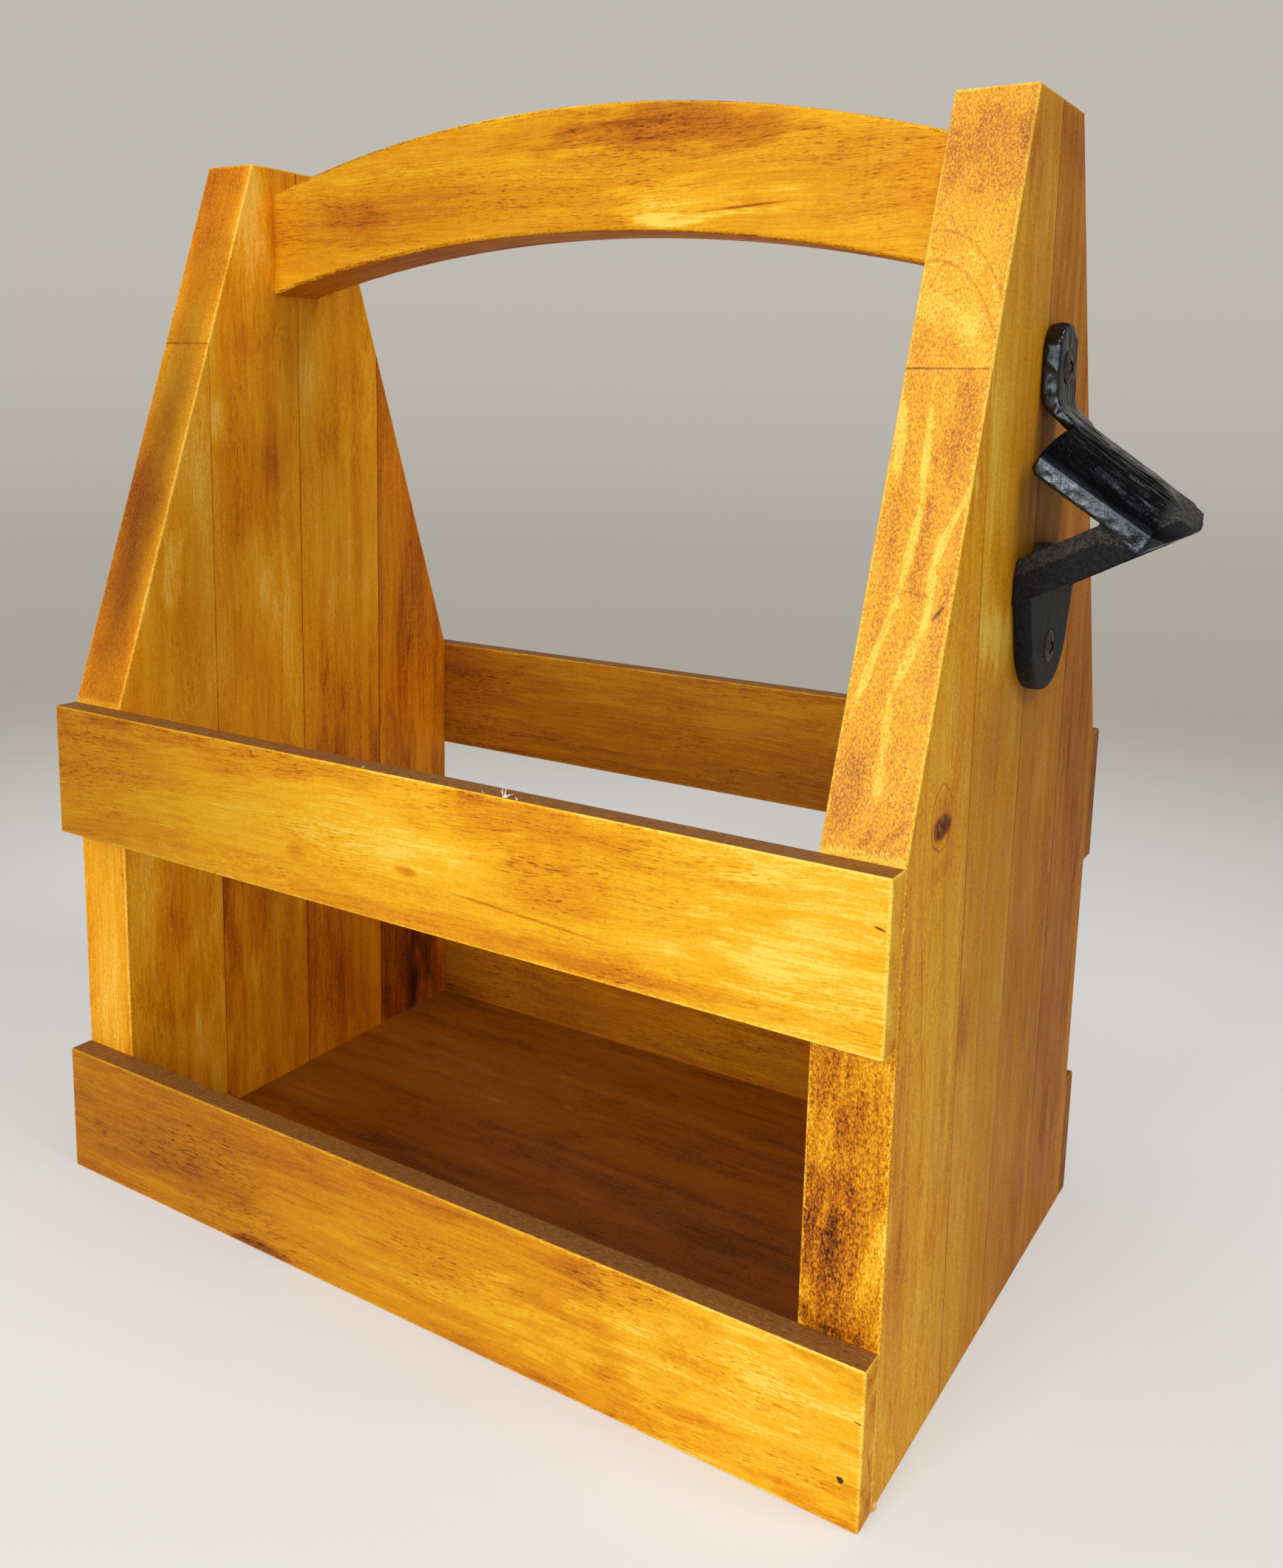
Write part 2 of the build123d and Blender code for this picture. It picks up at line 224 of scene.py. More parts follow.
def closedTube(path, radii, along, sides=16):
    # point(i, a) = path[i] + radii[i] * (cos a * u + sin a * v), where u and v stand square to along;
    # both ends run to one point
    along = np.asarray(along) / np.linalg.norm(along)
    u = np.cross(up if abs(along[2]) < 0.9 else (1, 0, 0), along)
    u /= np.linalg.norm(u)
    v = np.cross(along, u)
    angle = np.arange(sides) * 2 * np.pi / sides
    circle = np.outer(np.cos(angle), u) + np.outer(np.sin(angle), v)
    rings = path[:, None, :] + radii[:, None, None] * circle[None]
    count = len(path)
    points = np.concatenate([rings.reshape(-1, 3), path[:1], path[-1:]])
    faces = []
    first, last = count * sides, count * sides + 1
    for j in range(sides):
        k = (j + 1) % sides
        faces.append((first, k, j))
        faces.append((last, (count - 1) * sides + j, (count - 1) * sides + k))
        for i in range(count - 1):
            faces.append((i * sides + j, i * sides + k, (i + 1) * sides + k, (i + 1) * sides + j))
    return points, faces


def joined(parts):
    points, faces, start = [], [], 0
    for partPoints, partFaces in parts:
        points.append(partPoints)
        faces += [tuple(index + start for index in face) for face in partFaces]
        start += len(partPoints)
    return np.concatenate(points), faces


# Sides of a board as planes and arcs. The distances to them give the arrises, painted paler: partly rubbed wear,
# partly a painted highlight.

panelShape = {"height": 303, "halfTop": 17.8, "slopeStart": 144, "halfDepth": 73.2, "inner": 109.5, "outer": 128.5}
handleShape = {"halfWidth": 9.5, "topRadius": 384, "topMiddle": -72.8, "underRadius": 440, "underMiddle": -161.2}


def planeDistances(point, planes):
    return [minus(offset, reachAlong(point, normal)) for normal, offset in planes]


def slatSides(point, node):
    planes = []
    for corner, facing in zip(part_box(node), (-1, 1)):
        for axis in range(3):
            planes.append(([facing * part for part in axisWay(axis)], facing * corner[axis] / mm))
    return planeDistances(point, planes)


def panelSides(point, node):
    shape = panelShape
    end = 1 if node.startswith("right") else -1
    lean = math.atan2(shape["halfDepth"] - shape["halfTop"], shape["height"] - shape["slopeStart"])
    reach = shape["halfDepth"] * math.cos(lean) + shape["slopeStart"] * math.sin(lean)
    planes = [((end, 0, 0), shape["outer"]), ((-end, 0, 0), -shape["inner"]), (up, shape["height"])]
    for facing in (-1, 1):
        planes.append(((0, facing, 0), shape["halfDepth"]))
        planes.append(((0, facing * math.cos(lean), math.sin(lean)), reach))
    return planeDistances(point, planes)


def handleSides(point, node):
    shape = handleShape
    flat = stretch(point, (1, 0, 1))
    sides = []
    for radius, middle, way in (("topRadius", "topMiddle", 1), ("underRadius", "underMiddle", -1)):
        reach = distance(flat, (0, 0, shape[middle]))
        sides.append(product(minus(shape[radius], reach), way))
    return sides + planeDistances(point, [((0, facing, 0), shape["halfWidth"]) for facing in (-1, 1)])


def arrisDistance(sides):
    # the second smallest distance: small only where two sides meet
    nearest = calc("MINIMUM", sides[0], sides[1])
    second = calc("MAXIMUM", sides[0], sides[1])
    for side in sides[2:]:
        second = calc("MINIMUM", second, calc("MAXIMUM", nearest, side))
        nearest = calc("MINIMUM", nearest, side)
    return second


# Stained wood. Every pattern is added up as one number, how deep the stain went in, and a ramp turns that into colour.

stain = {
    "stops": [
        (0.0, (0.985, 0.680, 0.095)),
        (0.18, (0.900, 0.455, 0.010)),
        (0.36, (0.780, 0.315, 0.004)),
        (0.52, (0.610, 0.195, 0.003)),
        (0.68, (0.380, 0.095, 0.003)),
        (0.84, (0.150, 0.034, 0.003)),
        (1.0, (0.035, 0.009, 0.003)),
    ],
    "sawn": [(0.25, (0.46, 0.190, 0.040)), (0.5, (0.27, 0.105, 0.022)), (0.75, (0.11, 0.040, 0.009))],
    "paintedSheen": (0.98, 0.62, 0.2),  # painted sheen: cut fibres that face upwards are painted this paler colour, as if lit more
    "roughness": (0.3, 0.7, 0.48, 0.62),  # mottle from and to, roughness from and to
    "specular": 0.13,
    "bump": 0.00010,
    "arris": (0.8, 0.25),  # distance over which the paler arris (rubbed wear and painted highlight) fades out, mm
    "ragged": 1.4,  # how far speckle moves that edge
    "wobble": 2.2,  # how far mottle moves the rims of marks
    "jitter": 0.8,  # how far fibres move those of lines
    "speckleRelief": 1.2, "poreRelief": -0.35, "fuzzRelief": 2.5,
    "cutFrom": (0.12, 0.3),  # facing along the grain at which fibres count as cut
    "downFrom": (-0.3, -0.8), "paintedSheenFrom": (0.1, 0.3), "sawnFrom": (0.75, 0.97),
    "fuzz": (0.7, 1.6, 1.6), "fuzzGrain": (1.0, 4.0, 0.7, 0.5),
    "arcFirm": 0.2,  # share of an arc's width that is fully dark
}
glueLine = {
    "amount": 0.42,
    "fade": (0.32, 0.1),  # distance over which the line fades in, mm
    "thinning": 1.3,  # how much thinner it is on cut fibres
    "strength": (0.3, 0.6, 0.5, 1.0),  # weaker where the cloud pattern is low
}
knot = {
    "wobble": 0.5, "ring": 0.94, "ringFade": (0.07, 0.01), "ringAmount": 0.24,
    "insideFade": (0.95, 0.5), "insideAmount": 0.12,
    "heartWobble": 0.9, "heartFirm": 0.55,
    "strokes": (0.2, 1.7, 0.45), "strokeGrain": (1.0, 1.0, 0.5, 0.3), "strokeDepth": (0.5, 0.66, 0.48, 0.18),
}
grainPatterns = {
    # name: (whether it follows the bent grain, scale along it, scale across it, detail, roughness, distortion)
    "Streak": (True, 0.006, 0.26, 3.0, 0.55),
    "Fibre": (True, 0.085, 2.1, 3.0, 0.62),
    "Mottle": (True, 0.05, 0.2, 3.0, 0.55, 0.1),
    "Pores": (True, 0.32, 3.2, 1.0),
    "Patch": (False, 0.022, 0.075, 2.0),  # where pores show
    "Cloud": (False, 0.012, 0.045, 2.0, 0.5, 0.2),
    "Speckle": (False, 1.3, 2.6, 2.0, 0.6, 0.5),
    "Curls": (False, 0.8, 1.5, 1.5, 0.5, 0.8),
    "Curly": (False, 0.12, 0.22, 1.0),  # where curls show
}
patternSteps = {"Pores": (0.56, 0.68), "Patch": (0.42, 0.66), "Curly": (0.36, 0.6)}
curlWidth = (0.040, 0.008)
ringPattern = {
    "flow": (0.005, 0.016, 0.016), "bend": (0.0, 4.5, 4.5),  # slow bends of the grain: scale and reach
    "unevenScale": 0.11, "uneven": 3.0,  # how much the gaps between rings differ
    "rise": 3.0, "edge": (0.93, 1.0),  # late wood darkens slowly and ends sharply
}


def makeGrainGroup():
    # board coordinates in mm: x runs along the grain, and the rings are cylinders round the x axis
    tree = bpy.data.node_groups.new("grain", "ShaderNodeTree")
    tree.interface.new_socket("Board", in_out="INPUT", socket_type="NodeSocketVector")
    tree.interface.new_socket("RingGap", in_out="INPUT", socket_type="NodeSocketFloat")
    start = tree.nodes.new("NodeGroupInput")
    board, ringGap = start.outputs["Board"], start.outputs["RingGap"]
    flow = grow("TexNoise", {"Vector": stretch(board, ringPattern["flow"]), "Detail": 1.0}).outputs[1]
    flow = vectorCalc("SUBTRACT", flow, (0.5, 0.5, 0.5))
    bent = vectorCalc("MULTIPLY_ADD", flow, ringPattern["bend"], board)
    out = {}
    for name, (isBent, along, across, *rest) in grainPatterns.items():
        out[name] = noise(stretch(bent if isBent else board, (along, across, across)), 1.0, *rest)
    for name, steps in patternSteps.items():
        out[name] = span(out[name], *steps)
    # curls are the thin lines along which their noise is near its middle
    curls = span(farFrom(out["Curls"], 0.5), *curlWidth)
    out["Curls"] = product(curls, out.pop("Curly"))
    reach = length(stretch(bent, (0, 1, 1)))
    uneven = {"W": product(reach, ringPattern["unevenScale"])}
    uneven = grow("TexNoise", uneven, noise_dimensions="1D").outputs[0]
    phase = plus(calc("DIVIDE", reach, ringGap), uneven, ringPattern["uneven"])
    part = calc("FRACT", phase)
    late = calc("POWER", part, ringPattern["rise"])
    out["Rings"] = product(late, span(part, *ringPattern["edge"], 1.0, 0.0))
    end = tree.nodes.new("NodeGroupOutput")
    for name, socket in out.items():
        tree.interface.new_socket(name, in_out="OUTPUT", socket_type="NodeSocketFloat")
        tree.links.new(socket, end.inputs[name])
    return tree


grainGroup = makeGrainGroup()


def ellipsoid(point, centre, size, tilt=(0, 0, 0)):
    # 0 at the centre, 1 on the rim
    turned = [math.radians(angle) for angle in tilt]
    values = {"Vector": point, "Location": centre, "Rotation": turned, "Scale": size}
    return length(grow("Mapping", values, vector_type="TEXTURE").outputs[0])


def markMask(point, wobble, centre, size, tilt=(0, 0, 0), firm=0.2):
    # 1 inside an ellipsoid, 0 past its rim; noise moves the rim, and firm says how sharp it is
    return span(calc("ADD", ellipsoid(point, centre, size, tilt), wobble), 1.0, firm)


plainBoard = {
    "grain": "x",  # axis that the fibres follow
    "pith": (0, 60),  # heart of the tree, across the grain
    "ringGap": 6,
    "seed": 0,
    "depth": 0.3,
    "tilt": 0.0,  # degrees between the fibres and the board's length
    "rings": 0.06, "streak": 0.4, "fibre": 0.42, "pores": 0.2, "cloud": 0.4, "mottle": 0.14,
    "speckle": 1.15, "curls": 0.2, "flecks": 0.32,
    "sheenShare": 0.0,  # share of the painted sheen colour on cut fibres that face upwards
    "ends": 0.1,  # how much deeper cut fibres soak
    "under": 0.2,  # painted shade: how much darker surfaces that face down are
    "curly": None,  # (axis, from, to): where side grain is speckled like cut grain
    "sawn": None,  # axis that the rough sawn edges face
    "marks": [],  # soft patches: (centre, size, amount, tilt, firm)
    "lines": [],  # thin scratches and cracks, the same way
    "paintedShades": [],  # painted shade: wide soft patches where less light falls: (centre, size, shade, tilt, firm)
    "poreSpots": [],  # patches with more pores: (centre, size)
    "knots": [],  # (centre, size of the ring, size and offset of the dark heart)
    "joints": [],  # glue lines: (Y at the ground, lean in mm per mm of height)
    "arcs": [],  # ring boundaries round an upright line: (x, y, radius, half width, amount)
    # how much paler the arrises are: partly rubbed wear, partly a painted highlight
    "arrisWearAndHighlight": 0.22,
    "tint": (1, 1, 1),
}


def boardCoordinates(point, look):
    if look["grain"] == "x":
        turned = (0, math.radians(look["tilt"]), 0)
        location = (look["seed"] * 400, -look["pith"][0], -look["pith"][1])
    else:
        turned = (math.radians(look["tilt"]), math.radians(90), 0)
        location = (look["seed"] * 400, -look["pith"][1], look["pith"][0])
    return grow("Mapping", {"Vector": point, "Location": location, "Rotation": turned}).outputs[0]


def cutMask(normal, point, look):
    # 1 where the surface cuts across the fibres
    grainWay = (1, 0, 0) if look["grain"] == "x" else up
    cut = span(steepness(normal, grainWay), *stain["cutFrom"])
    if look["curly"]:
        axis, low, high = look["curly"]
        cut = calc("MAXIMUM", cut, span(reachAlong(point, axisWay(axis)), low, high))
    return cut


def addKnots(point, centred, depth, knots):
    # a thin ring, darker inside, round a heart crossed by pale strokes
    for centre, size, heartSize, heartOffset in knots:
        out = plus(ellipsoid(point, centre, size), centred["Mottle"], knot["wobble"])
        depth = plus(depth, span(farFrom(out, knot["ring"]), *knot["ringFade"]), knot["ringAmount"])
        depth = plus(depth, span(out, *knot["insideFade"]), knot["insideAmount"])
        heart = [a + b for a, b in zip(centre, heartOffset)]
        wobble = product(centred["Speckle"], knot["heartWobble"])
        inner = markMask(point, wobble, heart, heartSize, (0, 0, 0), knot["heartFirm"])
        strokes = noise(stretch(point, knot["strokes"]), *knot["strokeGrain"])
        depth = plus(depth, inner, span(strokes, *knot["strokeDepth"]))
    return depth


def addArcs(point, centred, depth, arcs):
    for x, y, radius, half, amount in arcs:
        reach = distance(stretch(point, (1, 1, 0)), (x, y, 0))
        away = plus(farFrom(reach, radius), centred["Mottle"], half)
        depth = plus(depth, span(away, half, half * stain["arcFirm"]), amount)
    return depth


def boardDepth(tree, point, normal, look):
    # how deep the stain went in, the relief, the share of cut fibres and the patterns of one board
    grain = add(tree, "Group", node_tree=grainGroup)
    feed(tree, grain, {"Board": boardCoordinates(point, look), "RingGap": look["ringGap"]})
    pattern = grain.outputs
    names = ("Cloud", "Mottle", "Streak", "Fibre", "Speckle")
    centred = {name: minus(pattern[name], 0.5) for name in names}
    cut = cutMask(normal, point, look)
    side = minus(1.0, cut)
    wobble = product(centred["Mottle"], stain["wobble"])
    jitter = product(centred["Fibre"], stain["jitter"])
    patch = pattern["Patch"]
    for centre, size in look["poreSpots"]:
        patch = calc("MAXIMUM", patch, markMask(point, wobble, centre, size))
    fibre = product(centred["Fibre"], side)
    pores = product(product(pattern["Pores"], patch), side)
    speckle = product(centred["Speckle"], cut)
    shares = {
        "rings": pattern["Rings"],
        "cloud": centred["Cloud"],
        "mottle": centred["Mottle"],
        "streak": product(centred["Streak"], side),
        "fibre": fibre,
        "pores": pores,
        "flecks": product(centred["Speckle"], side),
        "speckle": speckle,
        "curls": product(pattern["Curls"], cut),
        "ends": cut,
        # painted shade on surfaces that face down
        "under": span(reachAlong(normal, up), *stain["downFrom"]),
    }
    depth = look["depth"]
    for key, value in shares.items():
        depth = plus(depth, value, look[key])
    for key, shift in (("marks", wobble), ("lines", jitter)):
        for centre, size, amount, *rest in look[key]:
            depth = plus(depth, markMask(point, shift, centre, size, *rest), amount)
    depth = addKnots(point, centred, depth, look["knots"])
    depth = addArcs(point, centred, depth, look["arcs"])
    height = plus(plus(fibre, speckle, stain["speckleRelief"]), pores, stain["poreRelief"])
    return depth, height, cut, pattern


def addJoints(point, pattern, cut, depth, joints):
    for place, lean in joints:
        away = farFrom(reachAlong(point, (0, 1, -lean)), place)
        away = product(away, plus(1.0, cut, glueLine["thinning"]))
        line = product(span(away, *glueLine["fade"]), span(pattern["Cloud"], *glueLine["strength"]))
        depth = plus(depth, line, glueLine["amount"])
    return depth


def woodMaterial(name, changes, sidesOf=None, beyond=None):
    # beyond is the look of a second board, past the first glue line
    look = {**plainBoard, **changes}
    material, tree, shader = newMaterial(name)
    point = millimetres(tree)
    normal = add(tree, "NewGeometry").outputs["Normal"]
    depth, height, cut, pattern = boardDepth(tree, point, normal, look)
    if beyond:
        place, lean = look["joints"][0]
        past = calc("GREATER_THAN", reachAlong(point, (0, 1, -lean)), place)
        farDepth, farHeight, _, _ = boardDepth(tree, point, normal, {**plainBoard, **beyond})
        depth = plus(depth, minus(farDepth, depth), past)
        height = plus(height, minus(farHeight, height), past)
    depth = addJoints(point, pattern, cut, depth, look["joints"])
    # the arrises are painted paler: partly rubbed wear, partly a painted highlight
    if sidesOf:
        ragged = product(minus(pattern["Speckle"], 0.5), stain["ragged"])
        away = calc("ADD", ragged, arrisDistance(sidesOf(point, name)))
        depth = plus(depth, span(away, *stain["arris"]), -look["arrisWearAndHighlight"])

    colour = ramp(depth, stain["stops"])
    colour = blend(1.0, colour, (*look["tint"], 1), "MULTIPLY")
    # painted shade: each wide patch multiplies the colour by its shade colour
    for centre, size, shade, *rest in look["paintedShades"]:
        mask = markMask(point, 0.0, centre, size, *rest)
        colour = blend(mask, colour, (*shade, 1), "MULTIPLY")
    # painted sheen: surfaces that face upwards are blended towards a paler colour
    if look["sheenShare"]:
        paintedSheen = span(reachAlong(normal, up), *stain["paintedSheenFrom"], 0.0, look["sheenShare"])
        colour = blend(paintedSheen, colour, (*stain["paintedSheen"], 1))
    if look["sawn"] is not None:
        sawn = span(steepness(normal, axisWay(look["sawn"])), *stain["sawnFrom"])
        fuzz = noise(stretch(point, stain["fuzz"]), *stain["fuzzGrain"])
        colour = blend(sawn, colour, ramp(fuzz, stain["sawn"]))
        height = plus(height, product(fuzz, sawn), stain["fuzzRelief"])
    feed(tree, shader, {
        "Base Color": colour,
        "Roughness": span(pattern["Mottle"], *stain["roughness"]),
        "Specular IOR Level": stain["specular"],
        "Normal": grow("Bump", {"Height": height, "Distance": stain["bump"], "Strength": 1.0}).outputs[0],
    })
    return material


slats = {
    "front_upper_slat": {
        "pith": (-40, 190), "ringGap": 9, "seed": 1, "depth": 0.22, "pores": 0.26, "tilt": 2.5,
        # painted shade: the wide patch darkens the left end of the slat
        "cloud": 0.2, "streak": 0.34, "paintedShades": [((-140, -80, 125), (165, 8, 90), (0.68, 0.66, 0.6))],
        "marks": [
            # the first mark, deeper at the left end, is partly stain and partly painted shade
            ((-135, -80, 125), (90, 8, 50), 0.16), ((-45, -80, 142.5), (75, 8, 7.5), 0.2),
            ((40, -80, 139), (42, 8, 11), 0.22), ((48, -80, 124), (26, 8, 8), 0.16),
            ((60, -80, 111), (50, 8, 4.5), 0.13, (0, 2, 0)), ((124, -80, 122), (52, 10, 60), -0.09),
            ((-32, -80, 119), (5, 4, 4), 0.2), ((5, -80, 120.5), (4, 4, 1.6), 0.3),
            ((20, -80, 109), (90, 8, 5), 0.14), ((80, -80, 119.5), (65, 8, 4), -0.06, (0, -5, 0)),
            ((108, -80, 128), (34, 8, 22), -0.04), ((0, -80, 126), (45, 8, 9), -0.07),
            ((129.5, -77, 123), (2.4, 4, 4), 0.2), ((129.5, -75, 107), (2.4, 5, 4), 0.3),
            ((129.5, -74, 135), (2.4, 2, 9), 0.1), ((129.5, -78, 114), (2.4, 3, 4), -0.16),
        ],
        "lines": [
            ((41, -80, 116.8), (30, 3, 0.5), 0.26, (0, 3.2, 0), 0.5),
            ((126.4, -80, 133.3), (1.7, 1, 0.35), 0.6, (0, 14, 0), 0.5),
        ],
        "poreSpots": [((42, -80, 131), (30, 8, 14)), ((50, -80, 122), (16, 8, 6)), ((85, -80, 138), (40, 8, 7))],
    },
    "front_lower_slat": {
        "pith": (-60, -70), "ringGap": 11, "seed": 2, "depth": 0.38, "pores": 0.28, "tilt": 1.5,
        # painted shade: the wide patch darkens the left end of the slat
        "cloud": 0.26, "paintedShades": [((-140, -80, 19), (260, 8, 90), (0.7, 0.7, 0.65))],
        "marks": [
            # the first mark, deeper at the left end, is partly stain and partly painted shade
            ((-135, -80, 19), (110, 8, 60), 0.08), ((-75, -80, 13), (40, 8, 6), 0.14),
            ((-50, -80, 31), (60, 8, 6), 0.08), ((-48, -80, 1), (16, 8, 4), 0.26), ((30, -80, 2), (40, 8, 3), 0.16),
            ((10, -80, 35), (40, 8, 4), 0.14), ((62, -80, 33), (22, 8, 5), 0.2), ((30, -80, 14), (40, 8, 9), -0.08),
            ((108, -80, 19), (66, 12, 34), -0.25), ((-20, -80, 18), (35, 8, 6), -0.08),
            ((129.5, -77, 26), (2.4, 4, 4), 0.1), ((129.5, -75, 4), (2.4, 4, 4), 0.18),
            ((129.5, -76, 14), (2.4, 0.5, 7), 0.36, (18, 0, 0)),
        ],
        "lines": [
            ((123.9, -80, 11.2), (1.0, 1.5, 0.55), 0.8, (0, 20, 0), 0.5),
            ((127.3, -80, 25.8), (1.2, 1, 0.28), 0.6, (0, 8, 0), 0.5),
        ],
        "poreSpots": [((98, -80, 24), (34, 8, 12)), ((62, -80, 30), (20, 8, 8)), ((112, -80, 9), (24, 8, 6))],
    },
    "back_upper_slat": {"pith": (130, 160), "seed": 3, "depth": 0.5, "ringGap": 8, "tint": (0.6, 0.62, 0.9)},
    "back_lower_slat": {"pith": (120, -50), "seed": 4, "depth": 0.51, "ringGap": 8, "tint": (0.7, 0.72, 0.9)},
}
paintedLowShade = ((-109.5, 14, 42), (6, 100, 108), 0.24)  # painted shade: the left panel's inner face is darker towards the floor
soft = {"ends": 0.12, "sheenShare": 0.0, "speckle": 0.7}  # the left panel's front staves, hardly speckled
staves = {
    "right_front_stave": {
        "pith": (98, -48), "ringGap": 10, "seed": 5, "depth": 0.29, "rings": -0.06,
        "joints": [(-30.87, -0.0333), (0, 0)], "curly": (1, -71.5, -72.6), "pores": 0.16, "fibre": 0.5,
        "knots": [((128.5, -53.7, 149.5), (4, 6.6, 7.6), (3, 6.6, 3.4), (0, 0.5, -1.9))],
        "marks": [
            ((128.5, -53, 138), (4, 9, 5), 0.12), ((128.5, -67.5, 66), (1.5, 8, 84), 0.13, (6.5, 0, 0), 0.6),
            ((119, -73, 52), (12, 2, 64), 0.26), ((111, -73, 41), (2.6, 4, 4.5), 0.34, (0, 0, 0), 0.4),
            ((119, -73, 39), (9, 4, 1.6), 0.12), ((115, -73, 62), (6, 4, 20), 0.24, (0, 14, 0)),
            ((114, -73, 96), (12, 4, 18), 0.14), ((113, -73, 95), (6, 4, 20), 0.1),
            ((125, -73, 55), (3.5, 4, 20), -0.22, (0, 16, 0), 0.4),
            ((117.3, -44, 227), (1.0, 24, 20), -0.26, (0, -3.8, 0), 0.4),
            ((117.5, -52, 203), (1.1, 24, 19), -0.24, (0, 5, 0), 0.4),
            ((113.9, -60, 183), (1.0, 24, 19), -0.24, (0, 12.6, 0), 0.4),
            ((125.6, -50, 210), (1.0, 24, 13), -0.26, (0, 17, 0), 0.4),
            ((123.5, -55, 197), (1.2, 24, 12), -0.24, (0, -1.5, 0), 0.4),
            ((121.3, -59, 183.5), (1.2, 24, 14), -0.25, (0, 16, 0), 0.4),
            ((119.2, -64, 167), (1.8, 24, 14), -0.26, (0, -3, 0), 0.3),
            ((111, -43, 229), (1.3, 24, 15), -0.26, (0, -7, 0), 0.3), ((123.5, -44, 228), (5.5, 24, 18), 0.2),
            ((113.5, -52, 205), (3.2, 24, 26), 0.15), ((120.6, -52, 203), (2.6, 24, 24), 0.18),
            ((127, -56, 190), (2.2, 24, 20), 0.15), ((114, -68, 160), (4.5, 14, 17), 0.17, (0, 10, 0)),
            ((119, -70, 148), (2.0, 12, 6), 0.2, (0, 40, 0)), ((125, -70, 150), (1.2, 12, 8), 0.2, (0, 40, 0)),
        ],
        "lines": [
            ((128.5, -59.1, 107), (1, 0.45, 38), 0.22, (8.5, 0, 0), 0.4),
            ((126, -56.2, 193), (2.6, 1.5, 0.5), 0.55, (0, -55, 0), 0.5),
            ((119, -55.0, 196.5), (8, 2, 0.35), 0.2, (0, 8, 0), 0.4),
        ],
    },
    "right_front_middle_stave": {
        "pith": (112, -56), "ringGap": 3.6, "seed": 6, "depth": 0.24, "rings": 0.04,
        "arcs": [(112, -56, 27.4, 0.24, 0.17), (112, -56, 25.1, 0.24, 0.14), (112, -56, 22.4, 0.7, -0.08)],
        "fibre": 0.5, "pores": 0.16,
        "marks": [
            ((128.5, -31, 95), (3, 6, 14), 0.22), ((119, -22, 289), (16, 18, 20), 0.24),
            ((119, -33, 256), (10, 10, 14), -0.08), ((128.5, -10, 296), (4, 30, 12), 0.1),
            ((128.5, -33, 225), (4, 10, 22), -0.08), ((119, -33, 250), (12, 8, 10), -0.1),
            # the mark at height 184 is painted light: it lifts the shade that the opener casts there
            ((128.5, -20, 158), (4, 14, 18), 0.12), ((128.5, -24, 184), (4, 18, 10), -0.24),
        ],
    },
    "right_rear_middle_stave": {
        "pith": (60, 40), "seed": 7, "depth": 0.34, "joints": [(0, 0), (36.6, 0)], "fibre": 0.5,
        "marks": [((128.5, 10, 296), (4, 30, 12), 0.12)],
    },
    "right_rear_stave": {"pith": (180, 30), "ringGap": 7, "seed": 8, "depth": 0.42, "joints": [(36.6, 0)]},
    "left_front_stave": {
        **soft, "pith": (-150, -30), "ringGap": 7, "seed": 9, "depth": 0.22, "joints": [(-36.6, 0)],
        "marks": [((-109.5, -53, 180), (4, 6, 22), -0.16), ((-121, -55, 200), (10, 30, 60), 0.1), paintedLowShade],
    },
    "left_front_middle_stave": {
        **soft, "pith": (-60, -20), "seed": 10, "depth": 0.25, "joints": [(-36.6, 0), (0, 0)],
        "marks": [
            paintedLowShade, ((-109.5, -12, 214), (4, 9, 14), 0.14), ((-109.5, -20, 175), (4, 12, 26), -0.17),
            ((-109.5, -34, 228), (4, 7, 10), -0.16), ((-109.5, -22, 250), (4, 16, 8), 0.08),
            ((-109.5, -20, 288), (4, 14, 26), -0.14),
        ],
    },
    "left_rear_middle_stave": {
        "pith": (-170, 10), "ringGap": 8, "seed": 11, "depth": 0.28, "joints": [(0, 0), (36.6, 0)],
        "marks": [((-109.5, 13, 219), (4, 7, 12), 0.14), ((-109.5, 22, 200), (4, 6, 40), -0.1), paintedLowShade],
    },
    "left_rear_stave": {
        "pith": (-80, 90), "seed": 12, "depth": 0.43, "joints": [(36.6, 0)], "cloud": 0.8, "marks": [paintedLowShade],
    },
}
# painted shade: darker round the left panel's slope
paintedLeftSlopeShade = ((-119, -48, 200), (14, 46, 150), (0.45, 0.45, 0.45))
paintedOutsideShade = ((128.5, 34, 150), (3, 108, 400), (0.65, 0.55, 0.4))  # painted shade: the outer face is darker towards the back
